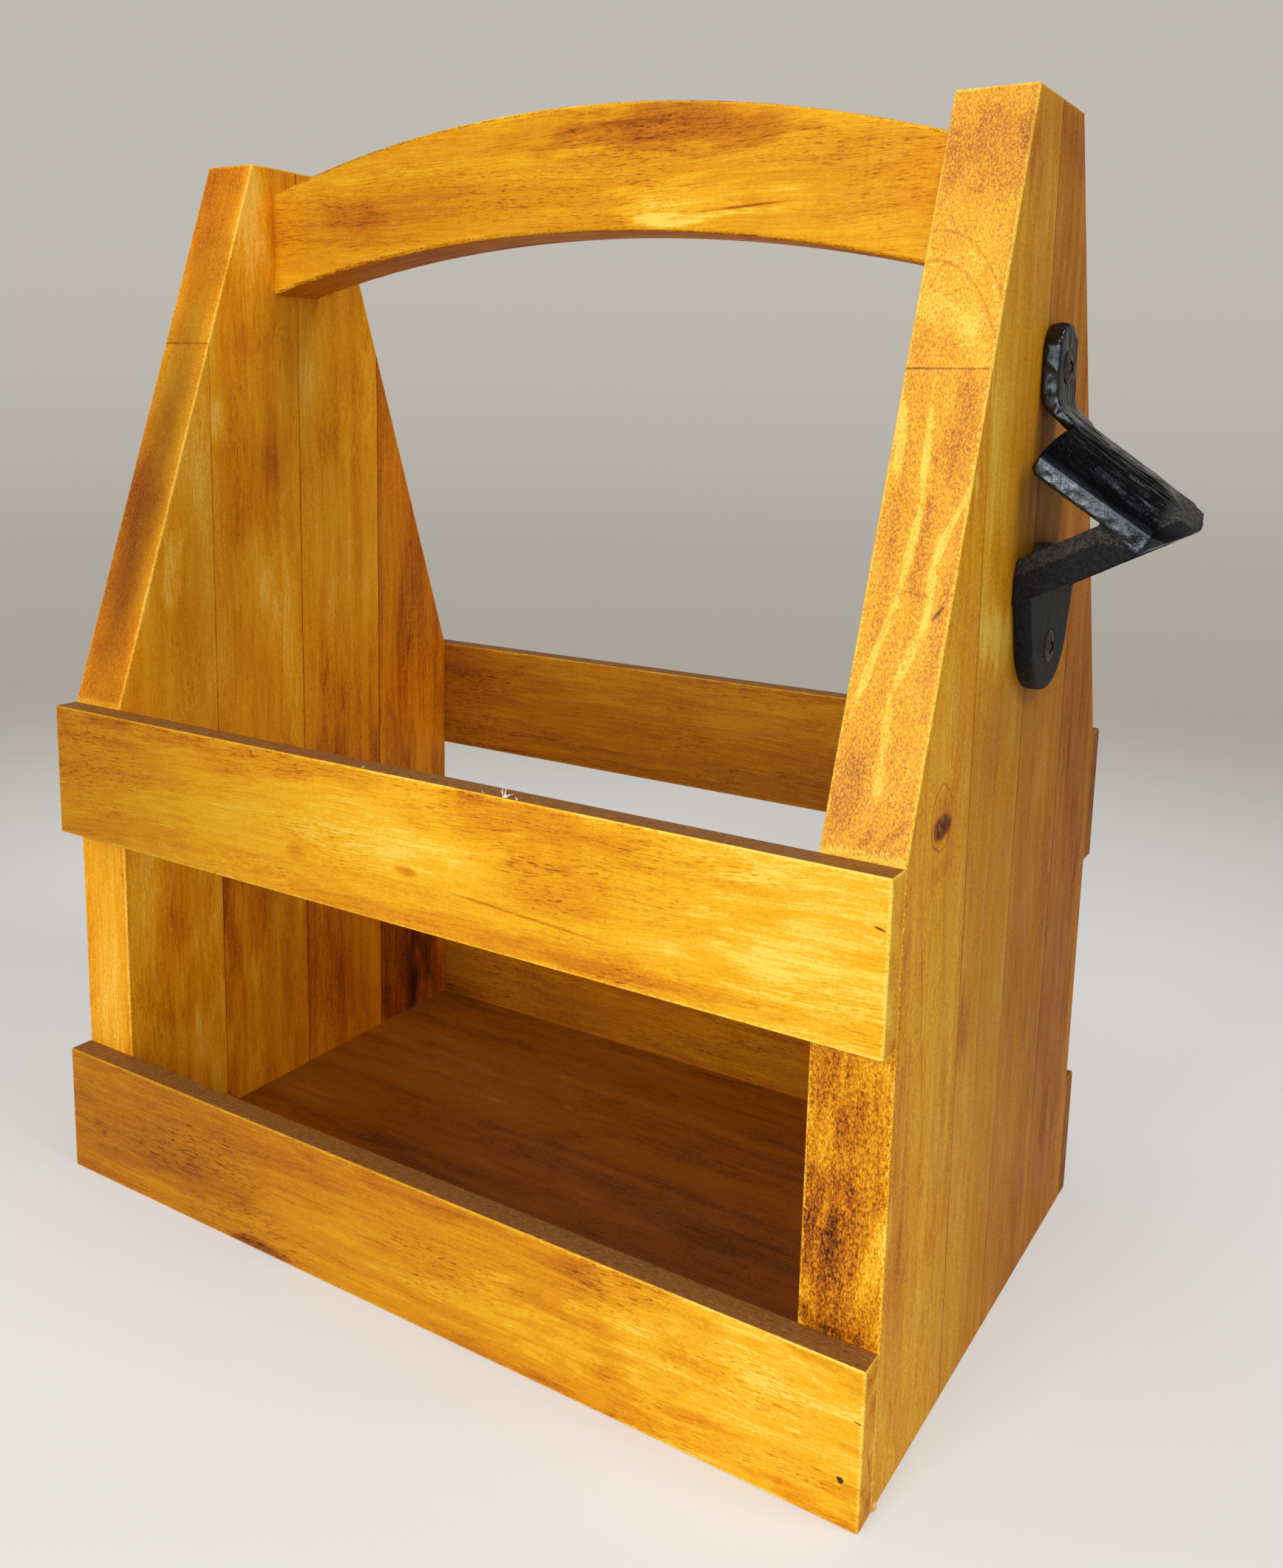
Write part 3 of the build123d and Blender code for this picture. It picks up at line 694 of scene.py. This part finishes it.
# the staves carry a painted sheen on their upward faces
plainStave = {"grain": "z", "ends": 0.02, "sheenShare": 0.14, "speckle": 1.4, "flecks": 0.50}
panels = {
    "left": {**plainStave, "paintedShades": [paintedLeftSlopeShade], "tint": (1.0, 0.88, 0.9), "cloud": 0.9},
    "right": {**plainStave, "paintedShades": [paintedOutsideShade], "flecks": 0.85, "mottle": 0.22},
}
leaning = ("right_front_stave", "right_front_middle_stave")
handle = {
    "pith": (-30, 340), "ringGap": 9, "seed": 13, "depth": 0.26, "cloud": 0.5,
    # painted shade: the wide patch darkens the handle's left end
    "paintedShades": [((-140, -9.5, 290), (190, 12, 90), (0.9, 0.9, 0.9))],
    "marks": [
        ((30, -9.5, 303), (50, 6, 9), 0.25, (0, 4, 0), 0.4), ((90, -9.5, 292), (24, 6, 9), 0.12),
        ((107, -9.5, 286), (7, 6, 14), 0.1), ((38, -9.5, 286), (40, 6, 7), -0.16),
        ((-82, -9.5, 286), (20, 6, 8), 0.1), ((-100, -9.5, 284), (40, 6, 40), 0.05),
        ((38, -9.5, 280.8), (24, 6, 2), -0.26, (0, -2, 0), 0.4), ((-35, -9.5, 290), (60, 6, 20), 0.09),
    ],
    "lines": [
        ((54, -9.5, 282.6), (20, 3, 0.5), 0.36, (0, -3, 0), 0.3),
        ((86, -9.5, 290), (0.5, 3, 10), 0.07, (0, 3, 0), 0.2),
        ((89.5, -9.5, 292), (0.4, 3, 9), 0.06, (0, 2, 0), 0.2),
    ],
    "poreSpots": [((70, -9.5, 296), (34, 8, 9)), ((96, -9.5, 287), (18, 8, 16))],
}
for node, look in slats.items():
    dress(cadNodes[node], woodMaterial(node, {"sawn": 2, "ends": 0.06, "speckle": 0.7, **look}, slatSides))
staveLooks = {node: {**panels[node.split("_")[0]], **look} for node, look in staves.items()}
# the front glue line of the right panel leans, so both staves beside it share one material
near, far = [staveLooks.pop(node) for node in leaning]
for node, look in staveLooks.items():
    dress(cadNodes[node], woodMaterial(node, look, panelSides))
shared = woodMaterial("right_front_staves", near, panelSides, far)
for node in leaning:
    dress(cadNodes[node], shared)
dress(cadNodes["carry_handle"], woodMaterial("carry_handle", handle, handleSides))
print("wood:", len(slats) + len(staves) + 1, "boards stained")


# Floor board, plywood

plyLook = {
    "pith": (0, -400), "ringGap": 14, "seed": 20, "depth": 0.7, "rings": 0.04, "cloud": 0.25, "mottle": 0.12,
    "streak": 0.2, "fibre": 0.2, "pores": 0.08, "tint": (0.76, 0.85, 1.0),
}
dress(cadNodes["floor_board"], woodMaterial("floor_plywood", plyLook))

# Dowels, brads and screws

dress(cadNodes["handle_dowels"], woodMaterial("dowel_wood", {"seed": 30, "depth": 0.1}))
plainLooks = {
    # tone and gloss: scale and detail of the noise
    "brad_steel": {
        "metallic": 1.0, "tone": (2.0, 3.0), "gloss": (1.5, 2.0), "roughness": (0.3, 0.7, 0.35, 0.6),
        "stops": [(0.3, (0.05, 0.035, 0.02)), (0.7, (0.16, 0.12, 0.08))],
    },
    "black_screws": {
        "metallic": 0.6, "tone": (1.2, 4.0), "gloss": (2.0, 2.0), "roughness": (0.3, 0.7, 0.35, 0.6),
        "stops": [(0.35, (0.020, 0.018, 0.017)), (0.7, (0.11, 0.09, 0.08))],
    },
    "splinter_fibre": {
        "tone": (2.0, 2.0), "roughness": 0.6, "stops": [(0.3, (0.86, 0.8, 0.66)), (0.7, (0.97, 0.94, 0.86))],
    },
    "dried_stain": {
        "tone": (1.5, 2.0), "roughness": 0.12, "stops": [(0.3, (0.8, 0.42, 0.05)), (0.7, (0.95, 0.66, 0.22))],
    },
}


def plainMaterial(name):
    look = plainLooks[name]
    material, tree, shader = newMaterial(name)
    point = millimetres(tree)
    rough = look["roughness"]
    if "gloss" in look:
        rough = span(noise(point, *look["gloss"]), *rough)
    colour = ramp(noise(point, *look["tone"]), look["stops"])
    feed(tree, shader, {"Base Color": colour, "Metallic": look.get("metallic", 0.0), "Roughness": rough})
    return material


bradSteel = plainMaterial("brad_steel")
for node in ("front_slat_brads", "back_slat_brads", "floor_brads"):
    dress(cadNodes[node], bradSteel)
dress(cadNodes["opener_screws"], plainMaterial("black_screws"))
print("dowels, brads and screws: finished")


# Filler over the brads: round plugs level with each slat, stained with it. One brad dent stays open.

filler = {
    "endInset": 4.5, "edgeInset": 11.0, "floorBradHeight": 3.25, "floorBradSpread": 0.7,
    "radius": 0.735, "deep": 0.39, "below": 0.02, "open": (124.0, 11.0),
}


def bradPlaces(node):
    low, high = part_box(node)
    ends = high.x / mm - filler["endInset"]
    heights = (low.z / mm + filler["edgeInset"], high.z / mm - filler["edgeInset"])
    places = [(x, z) for x in (-ends, ends) for z in heights]
    if low.z < mm:
        spread = panelShape["inner"] * filler["floorBradSpread"]
        places += [(x, filler["floorBradHeight"]) for x in (-spread, 0.0, spread)]
    return places


def makeFillers(node):
    low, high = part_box(node)
    facing = -1 if low.y < 0 else 1
    face = (low.y if facing < 0 else high.y) / mm
    plugs = []
    # a disc from face to face, each with a ring at half the radius inside its rim
    for x, z in bradPlaces(node):
        if facing < 0 and math.dist((x, z), filler["open"]) < 1:
            continue
        inner, outer = face - facing * filler["deep"], face - facing * filler["below"]
        path = np.array([(x, inner, z), (x, inner, z), (x, outer, z), (x, outer, z)])
        radii = np.array([0.5, 1.0, 1.0, 0.5]) * filler["radius"]
        plugs.append(closedTube(path * mm, radii * mm, (0, facing, 0)))
    piece = newPiece(node.replace("slat", "fillers"), *joined(plugs))
    piece.data.shade_flat()
    dress(piece, cadNodes[node].data.materials[0])
    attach(piece, "root")


for node in slats:
    makeFillers(node)
print("fillers: made for", len(slats), "slats")


# Splinters on the upper slat's arris and a dried drip of stain at the foot of the right panel

splinters = {
    "seed": 8, "radius": 0.085, "steps": 12, "sides": 6,
    # x along the slat, number of fibres, length
    "tufts": [(34.3, 7, 2.6), (33.4, 4, 1.5), (37.5, 3, 1.0), (-10.0, 3, 1.0), (28.0, 2, 0.8)],
    "scatter": 0.35, "inset": 0.35, "insetMore": 0.3, "sink": 0.25,  # of the roots
    # along the slat and upwards: mean and spread; inwards and for the length: from and to
    "lean": (0.15, 0.35), "leanIn": (0.0, 0.35), "share": (0.5, 1.0),
    "curl": (0, 0.3), "curlIn": (0, 0.2), "curlUp": (-0.1, 0.15),
}


def makeSplinters():
    # each fibre rises from the arris: point(t) = root + lean * t + curl * t^2,
    # and radius(t) = r * (0.25 + 0.75 * sin(pi * (0.15 + 0.8 t)))
    look = splinters
    rng = np.random.default_rng(look["seed"])
    low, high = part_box("front_upper_slat")
    parts = []
    t = np.linspace(0, 1, look["steps"])
    for x, count, reach in look["tufts"]:
        for _ in range(count):
            root = [rng.normal(0, look["scatter"]), look["inset"] + rng.uniform(0, look["insetMore"]), -look["sink"]]
            root = np.array([x, low.y / mm, high.z / mm]) + root
            lean = np.array([rng.normal(*look["lean"]), rng.uniform(*look["leanIn"]), 1.0])
            lean = lean * reach * rng.uniform(*look["share"])
            curl = [rng.normal(*look["curl"]), rng.uniform(*look["curlIn"]), rng.normal(*look["curlUp"])]
            path = root + np.outer(t, lean) + np.outer(t**2, np.array(curl) * reach)
            radii = look["radius"] * (0.25 + 0.75 * np.sin(np.pi * (0.15 + 0.8 * t)))
            parts.append(closedTube(path * mm, radii * mm, lean, look["sides"]))
    piece = newPiece("slat_splinters", *joined(parts))
    dress(piece, plainMaterial("splinter_fibre"))
    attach(piece, "root")


drip = {"place": (128.75, -72.3, 1.5), "radius": 0.75, "height": 2.4, "steps": 17, "sides": 18}


def makeDrip():
    # a drop: radius(t) = r * sqrt(sin(pi t)) * (1.15 - 0.5 t) from its foot to its top
    t = np.linspace(0, 1, drip["steps"])
    x, y, z = drip["place"]
    path = np.stack([np.full_like(t, x), np.full_like(t, y), z + (t - 0.5) * drip["height"]], axis=1)
    radii = drip["radius"] * np.sqrt(np.clip(np.sin(np.pi * t), 0, 1)) * (1.15 - 0.5 * t)
    piece = newPiece("stain_drip", *closedTube(path[1:-1] * mm, radii[1:-1] * mm, up, drip["sides"]))
    dress(piece, plainMaterial("dried_stain"))
    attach(piece, "root")


makeSplinters()
makeDrip()
print("splinters and drip: made")


# Opener casting: a merged copy of the solid, rounded by a remesh and roughened like sand cast iron

casting = {
    "voxel": 0.4 * mm, "weld": 0.01 * mm,
    "smoothing": (0.5, 3),  # factor and rounds
    "face": 128.5,  # panel face
    "lip": 221.76,  # height of the hood's lip at the panel face
    "slope": 33,  # of the hood, degrees
    # where the hood, its lip and its bark begin and end, by the height over the lip
    "hoodFrom": (-0.5, 1.5), "lipTo": (2.5, 4.0), "barkFrom": (9.5, 13.0),
    "barkOut": (7, 13), "barkTo": (26, 30), "flatBack": (0.2, 0.8),  # distance from the panel face
    "strapFrom": (231, 235),  # height at which the upper tab begins
    "roofFacing": (0.25, 0.75), "strapFacing": (0.5, 0.8),  # how squarely a surface faces that way
    "smoother": 0.6,  # how much lower lumps are on the roof and the lip
    # depth of the relief and the size of its cells
    "lumps": (0.05, 2.6), "pits": (0.02, 1.1), "tabLumps": (0.2, 1.5), "streaks": (0.2, (9, 0.9, 3)),
    "fineStreaks": (0.12, (4, 0.6, 2)), "lipWaves": (0.08, (2.2, 3, 1.4)), "bark": (0.11, (3.2, 0.8, 0.7)),
}


def latticeNoise(points, cell, seed):
    # random values on a lattice of cells, joined by smooth steps along each axis; about -1 to 1
    rng = np.random.default_rng(seed)
    place = points / np.asarray(cell)
    base = np.floor(place).astype(int)
    part = place - base
    part = part * part * (3 - 2 * part)
    side = 32  # the lattice repeats after this many cells
    table = rng.uniform(-1, 1, (side, side, side))
    total = np.zeros(len(points))
    for corner in np.ndindex(2, 2, 2):
        cellIndex = (base + corner) % side
        weight = np.prod(np.where(np.array(corner) == 1, part, 1 - part), axis=1)
        total += weight * table[cellIndex[:, 0], cellIndex[:, 1], cellIndex[:, 2]]
    return total


def smoothStep(value, low, high):
    share = np.clip((value - low) / (high - low), 0, 1)
    return share * share * (3 - 2 * share)


def mergedCopy(node, pieceName):
    source = cadNodes[node]
    mesh = source.data.copy()
    mesh.name = pieceName
    mesh.materials.clear()
    piece = bpy.data.objects.new(pieceName, mesh)
    bpy.context.scene.collection.objects.link(piece)
    weld = piece.modifiers.new("weld", "WELD")
    weld.merge_threshold = casting["weld"]
    return piece


def readVectors(items, name):
    values = np.empty(len(items) * 3)
    items.foreach_get(name, values)
    return values.reshape(-1, 3)


def applyModifiers(piece):
    depsgraph = bpy.context.evaluated_depsgraph_get()
    mesh = bpy.data.meshes.new_from_object(piece.evaluated_get(depsgraph))
    piece.modifiers.clear()
    piece.data = mesh
    mesh.name = piece.name


def makeCasting():
    # every point moves along its normal by the sum of depth * share * lattice noise over the layers, and a layer's
    # share says where it shows: lumps and pits nearly everywhere, streaks on the hood's roof, waves on its lip
    piece = mergedCopy("opener_casting", "cast_opener")
    remesh = piece.modifiers.new("remesh", "REMESH")
    remesh.mode = "VOXEL"
    remesh.voxel_size = casting["voxel"]
    smooth = piece.modifiers.new("smooth", "SMOOTH")
    smooth.factor, smooth.iterations = casting["smoothing"]
    applyModifiers(piece)
    mesh = piece.data
    place = readVectors(mesh.vertices, "co")
    normal = readVectors(mesh.vertex_normals, "vector")
    inMm = place / mm
    out, height = inMm[:, 0] - casting["face"], inMm[:, 2]
    slope = math.radians(casting["slope"])
    down = np.array([math.cos(slope), 0, -math.sin(slope)])
    off = np.array([math.sin(slope), 0, math.cos(slope)])
    hood = np.stack([inMm @ down, inMm[:, 1], inMm @ off], axis=1)
    overLip = height - casting["lip"] + out * math.tan(slope)
    onHood = smoothStep(overLip, *casting["hoodFrom"])
    roof = np.interp(normal @ off, casting["roofFacing"], (0, 1)) * onHood
    strap = smoothStep(height, *casting["strapFrom"]) * (1 - smoothStep(np.abs(normal[:, 0]), *casting["strapFacing"]))
    lip = onHood * (1 - smoothStep(overLip, *casting["lipTo"]))
    bark = smoothStep(overLip, *casting["barkFrom"]) * smoothStep(out, *casting["barkOut"])
    bark *= 1 - smoothStep(out, *casting["barkTo"])
    shares = {
        "lumps": 1 - casting["smoother"] * np.maximum(roof, lip), "pits": 1 - lip, "tabLumps": strap, "streaks": roof,
        "fineStreaks": roof, "lipWaves": lip, "bark": bark,
    }
    move = np.zeros(len(place))
    for seed, (name, share) in enumerate(shares.items(), 3):
        amount, cell = casting[name]
        cell = cell if isinstance(cell, tuple) else (cell,) * 3
        move += amount * share * latticeNoise(hood, cell, seed)
    # the backs of the tabs stay flat on the panel
    move *= smoothStep(out, *casting["flatBack"])
    place = place + normal * move[:, None] * mm
    mesh.vertices.foreach_set("co", place.ravel())
    mesh.polygons.foreach_set("use_smooth", np.ones(len(mesh.polygons), bool))
    mesh.update()
    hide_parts("opener_casting")
    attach(piece, "root")
    return piece


iron = {
    "paint": (0.0025, 0.0025, 0.003, 1),
    "bare": [(0.3, (0.004, 0.004, 0.005)), (0.7, (0.015, 0.015, 0.017))],
    "dust": (0.095, 0.088, 0.080, 1), "dustFacing": (0.12, 0.55, 0.0, 0.8), "dustGrain": (0.38, 0.6, 0.3, 1.0),
    "paintFrom": (-1.0, 0.6),  # over the lip
    "noseFrom": (29.5, 33.0),  # distance from the panel face
    "roughness": 0.5, "paintedRoughness": -0.4, "blotches": (0.4, 0.62, 0.65, 1.0),
    "grain": (1.15, 4.0, 0.6), "blotch": (0.28, 3.0, 0.55), "pit": (2.4, 2.0, 0.5),  # scale, detail, roughness
    # painted reflection colour: the paint's reflections are tinted bluish, as by a window's light
    "tint": (0.8, 0.88, 1.0, 1),
    # specular level: of the sides, of the band along the lip and of the duller strip over it
    "shine": (0.35, 0.75, 0.15, 0.19), "bandShine": 0.48, "dullShine": -0.75,
    "bandFrom": (-1.0, 0.0), "bandTo": (4.6, 4.95), "dullTo": (9.5, 6.5),
    "wrinkleScale": (0.45, 0.9, 0.9), "wrinkle": (1.0, 1.5, 0.5, 0.6), "wrinkles": (0.004, 0.024, 0.25, 1.0),
    # the upper tab: its side is bright, its face dull
    "strapFrom": (231, 234), "strapShine": 0.5, "strapFace": (0.75, 0.95), "strapFaceShine": -0.65,
    "lean": 0.075,
    "pits": (0.58, 0.74), "pitDepth": -0.6, "paintedRelief": -0.93, "bump": 0.00055,
}


def ironMaterial():
    # glossy paint on the hood and the upper tab, duller on the arms, the lower tab and the nose
    material, tree, shader = newMaterial("black_iron")
    point = millimetres(tree)
    normal = add(tree, "NewGeometry").outputs["Normal"]
    slope = math.tan(math.radians(casting["slope"]))
    overLip = minus(reachAlong(point, (slope, 0, 1)), casting["lip"] + casting["face"] * slope)
    out = minus(reachAlong(point, (1, 0, 0)), casting["face"])
    painted = product(span(overLip, *iron["paintFrom"]), span(out, *iron["noseFrom"], 1.0, 0.0))
    fine = noise(point, *iron["grain"])
    blotch = span(noise(point, *iron["blotch"]), *iron["blotches"])
    gloss = product(painted, blotch)
    # dust on what faces up
    dusty = span(reachAlong(normal, up), *iron["dustFacing"])
    dusty = product(dusty, span(fine, *iron["dustGrain"]))
    bare = blend(dusty, ramp(fine, iron["bare"]), iron["dust"])
    # a crisp band along the lip, crossed by dull wrinkles of paint, under a duller strip
    sideways = steepness(normal, (0, 1, 0))
    bandFrom, bandTo = iron["bandFrom"], iron["bandTo"]
    wrinkles = noise(stretch(point, iron["wrinkleScale"]), *iron["wrinkle"])
    wrinkles = span(farFrom(wrinkles, 0.5), *iron["wrinkles"])
    band = product(span(overLip, *bandTo, 1.0, 0.0), span(overLip, *bandFrom))
    dull = product(span(overLip, *bandTo), span(overLip, *iron["dullTo"]))
    shine = product(span(sideways, *iron["shine"]), plus(1.0, dull, iron["dullShine"]))
    shine = plus(shine, product(band, wrinkles), iron["bandShine"])
    strap = span(reachAlong(point, up), *iron["strapFrom"])
    outwards = product(strap, span(reachAlong(normal, (1, 0, 0)), *iron["strapFace"]))
    shine = product(shine, plus(1.0, outwards, iron["strapFaceShine"]))
    strap = product(strap, sideways)
    shine = plus(shine, strap, iron["strapShine"])
    # pits and grain, nearly filled by the paint
    pits = span(noise(point, *iron["pit"]), *iron["pits"])
    height = plus(fine, pits, iron["pitDepth"])
    height = product(height, plus(1.0, painted, iron["paintedRelief"]))
    # the paint on the lip and on the upper tab's side catches the window as if both faced a little more outwards
    lean = product(calc("MAXIMUM", band, strap), iron["lean"])
    turned = vectorCalc("MULTIPLY_ADD", lean, (1, 0, 0), normal)
    bump = grow("Bump", {"Height": height, "Distance": iron["bump"], "Strength": 1.0, "Normal": turned})
    feed(tree, shader, {
        "Base Color": blend(painted, bare, iron["paint"]),
        "Roughness": plus(iron["roughness"], gloss, iron["paintedRoughness"]),
        "Specular IOR Level": shine,
        "Specular Tint": iron["tint"],
        "Normal": bump.outputs[0],
    })
    return material


castOpener = makeCasting()
dress(castOpener, ironMaterial())
print("opener:", len(castOpener.data.polygons), "faces")


# Floor, world and lamps

room = {
    "floorColour": (0.8, 0.785, 0.76), "floorGloss": {"Roughness": 0.9, "Specular IOR Level": 0.1},
    "lowBack": (0.4, 0.37, 0.325),  # backdrop at and under the horizon
    "highBack": (0.52, 0.495, 0.45),
    "ceiling": (0.09, 0.09, 0.09),  # seen only in glossy surfaces that face upwards
    "fade": (0.22, 0.85),  # metres from the caddy over which the floor runs into the backdrop
    "lift": (0.35, (0.93, 0.92, 0.9)),  # share of the floor that is a plain colour, free of lamps, and that colour
    "ambient": 0.22,
    "half": 3.0,  # half of the floor's width, metres
    "horizon": (-0.2, 0.12), "ceilingFrom": (0.38, 0.6),  # upward part of the viewing direction
    "aim": (0, 0, 0.15),  # point that the lamps face
    "lamps": [
        # name, azimuth in degrees from the front, height, distance, width, tallness, power
        ("window", -6, 0.54, 1.5, 0.42, 0.92, 11.0),
        ("near", 24, 0.42, 0.62, 0.36, 0.36, 1.08),
        ("fill", 92, 1.5, 1.25, 0.75, 0.65, 12.0),
        ("top", -50, 1.8, 0.7, 1.4, 1.4, 5.5),
    ],
}


def makeFloor():
    half = room["half"]
    corners = [(-half, -half, 0), (half, -half, 0), (half, half, 0), (-half, half, 0)]
    floor = newPiece("floor", corners, [(0, 1, 2, 3)])
    material, tree, shader = newMaterial("pale_floor")
    feed(tree, shader, {"Base Color": (*room["floorColour"], 1), **room["floorGloss"]})
    place = add(tree, "TexCoord").outputs["Object"]
    away = span(length(place), *room["fade"])
    share, plain = room["lift"]
    seen = add(tree, "LightPath").outputs["Is Camera Ray"]
    glow = add(tree, "Emission", {"Color": (*plain, 1), "Strength": 1.0})
    lifted = add(tree, "MixShader", {0: product(seen, share), 1: shader.outputs[0], 2: glow.outputs[0]})
    clear = add(tree, "BsdfTransparent")
    mixed = add(tree, "MixShader", {0: away, 1: lifted.outputs[0], 2: clear.outputs[0]})
    tree.links.new(mixed.outputs[0], tree.nodes["Material Output"].inputs[0])
    dress(floor, material)


def makeWorld():
    world = bpy.data.worlds.new("studio")
    bpy.context.scene.world = world
    world.use_nodes = True
    tree = world.node_tree
    tree.nodes.clear()
    output = add(tree, "OutputWorld")
    rays = add(tree, "LightPath")
    seen = calc("MAXIMUM", rays.outputs["Is Camera Ray"], rays.outputs["Is Glossy Ray"])
    way = add(tree, "TexCoord").outputs["Generated"]
    rise = reachAlong(way, up)
    tone = blend(span(rise, *room["horizon"]), (*room["lowBack"], 1), (*room["highBack"], 1))
    tone = blend(span(rise, *room["ceilingFrom"]), tone, (*room["ceiling"], 1))
    lit = add(tree, "Background", {"Color": (1, 1, 1, 1), "Strength": room["ambient"]})
    back = add(tree, "Background", {"Color": tone, "Strength": 1.0})
    mixed = add(tree, "MixShader", {0: seen, 1: lit.outputs[0], 2: back.outputs[0]})
    tree.links.new(mixed.outputs[0], output.inputs[0])


def makeLamps():
    aim = Vector(room["aim"])
    for name, azimuth, height, away, width, tallness, power in room["lamps"]:
        data = bpy.data.lights.new(name, "AREA")
        data.shape = "RECTANGLE"
        data.size = width
        data.size_y = tallness
        data.energy = power
        lamp = bpy.data.objects.new(name, data)
        bpy.context.scene.collection.objects.link(lamp)
        across = math.radians(azimuth)
        lamp.location = (math.sin(across) * away, -math.cos(across) * away, height)
        lamp.rotation_euler = (Vector(lamp.location) - aim).to_track_quat("Z", "Y").to_euler()


makeFloor()
makeWorld()
makeLamps()
bpy.context.scene.view_settings.view_transform = "Standard"
print("room: floor, world and", len(room["lamps"]), "lamps")
